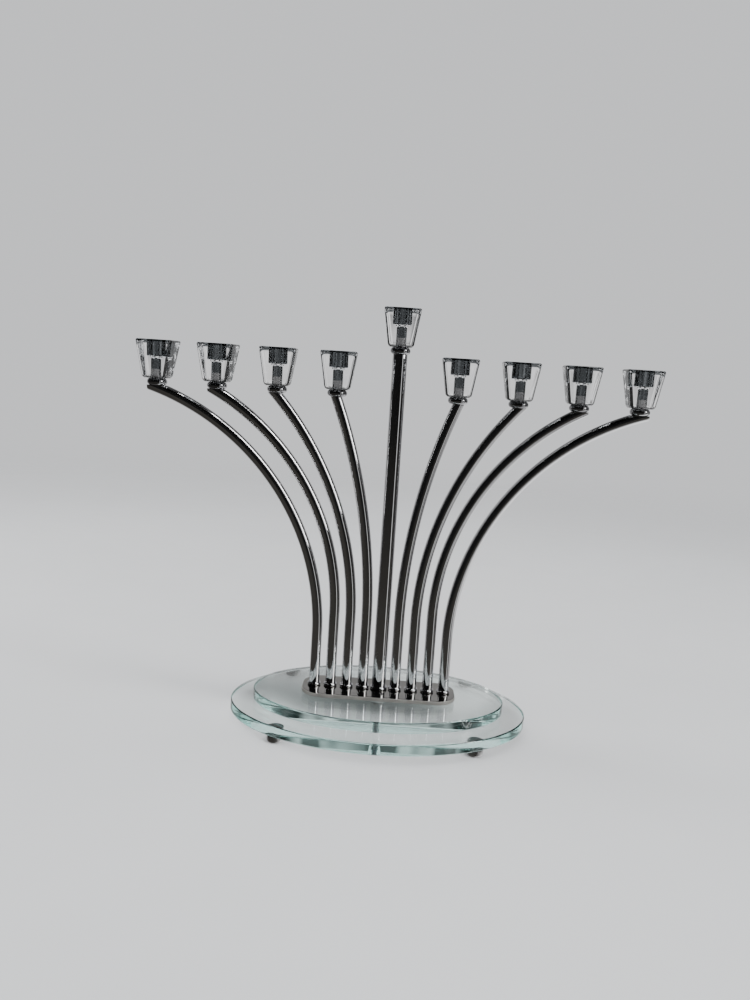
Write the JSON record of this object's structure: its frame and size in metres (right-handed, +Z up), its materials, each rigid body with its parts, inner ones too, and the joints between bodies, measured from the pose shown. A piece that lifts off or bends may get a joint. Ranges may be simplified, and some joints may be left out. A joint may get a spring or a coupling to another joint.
{
  "type": "menorah",
  "caption": "Curved-rod table menorah: chrome arms in one row rise from a stepped oval glass base and carry square crystal candle cups, the straight centre one tallest.",
  "frame": {"origin": "centre of the base on the surface that the feet stand on", "axes": "+X along the row of rods to the viewer's right, +Y from front to back, +Z up; the front faces -Y"},
  "size_m": [0.2852, 0.121, 0.2315],
  "materials": {
    "oval_glass": "clear float glass with a polished edge, faintly aqua",
    "plate_chrome": "mirror chrome",
    "rod_chrome": "mirror chrome",
    "collar_chrome": "mirror chrome",
    "post_steel": "bright turned steel",
    "cup_crystal": "clear polished crystal",
    "foot_metal": "satin metal",
    "screw_steel": "plain steel",
    "washer_soft": "clear soft plastic"
  },
  "bodies": {
    "stand": {"lower_oval": "oval_glass", "upper_oval": "oval_glass", "stem_plate": "plate_chrome", "base_screw": "screw_steel", "screw_washer": "washer_soft", "foot_front_left": "foot_metal", "foot_front_right": "foot_metal", "foot_back_left": "foot_metal", "foot_back_right": "foot_metal", "arm_rings": "collar_chrome", "stem_ring": "collar_chrome", "stem": "rod_chrome", "arm_1": "rod_chrome", "arm_2": "rod_chrome", "arm_3": "rod_chrome", "arm_4": "rod_chrome", "arm_6": "rod_chrome", "arm_7": "rod_chrome", "arm_8": "rod_chrome", "arm_9": "rod_chrome", "collar_1": "collar_chrome", "collar_2": "collar_chrome", "collar_3": "collar_chrome", "collar_4": "collar_chrome", "collar_5": "collar_chrome", "collar_6": "collar_chrome", "collar_7": "collar_chrome", "collar_8": "collar_chrome", "collar_9": "collar_chrome", "post_1": "post_steel", "post_2": "post_steel", "post_3": "post_steel", "post_4": "post_steel", "post_5": "post_steel", "post_6": "post_steel", "post_7": "post_steel", "post_8": "post_steel", "post_9": "post_steel"},
    "candle_cup_1": {"cup_1": "cup_crystal"},
    "candle_cup_2": {"cup_2": "cup_crystal"},
    "candle_cup_3": {"cup_3": "cup_crystal"},
    "candle_cup_4": {"cup_4": "cup_crystal"},
    "candle_cup_5": {"cup_5": "cup_crystal"},
    "candle_cup_6": {"cup_6": "cup_crystal"},
    "candle_cup_7": {"cup_7": "cup_crystal"},
    "candle_cup_8": {"cup_8": "cup_crystal"},
    "candle_cup_9": {"cup_9": "cup_crystal"}
  },
  "joints": [
    {"name": "cup_1_lift", "type": "slide", "parent": "stand", "child": "candle_cup_1", "axis": [0, 0, 1], "range_m": [0, 0.008]},
    {"name": "cup_2_lift", "type": "slide", "parent": "stand", "child": "candle_cup_2", "axis": [0, 0, 1], "range_m": [0, 0.008]},
    {"name": "cup_3_lift", "type": "slide", "parent": "stand", "child": "candle_cup_3", "axis": [0, 0, 1], "range_m": [0, 0.008]},
    {"name": "cup_4_lift", "type": "slide", "parent": "stand", "child": "candle_cup_4", "axis": [0, 0, 1], "range_m": [0, 0.008]},
    {"name": "cup_5_lift", "type": "slide", "parent": "stand", "child": "candle_cup_5", "axis": [0, 0, 1], "range_m": [0, 0.008]},
    {"name": "cup_6_lift", "type": "slide", "parent": "stand", "child": "candle_cup_6", "axis": [0, 0, 1], "range_m": [0, 0.008]},
    {"name": "cup_7_lift", "type": "slide", "parent": "stand", "child": "candle_cup_7", "axis": [0, 0, 1], "range_m": [0, 0.008]},
    {"name": "cup_8_lift", "type": "slide", "parent": "stand", "child": "candle_cup_8", "axis": [0, 0, 1], "range_m": [0, 0.008]},
    {"name": "cup_9_lift", "type": "slide", "parent": "stand", "child": "candle_cup_9", "axis": [0, 0, 1], "range_m": [0, 0.008]}
  ]
}
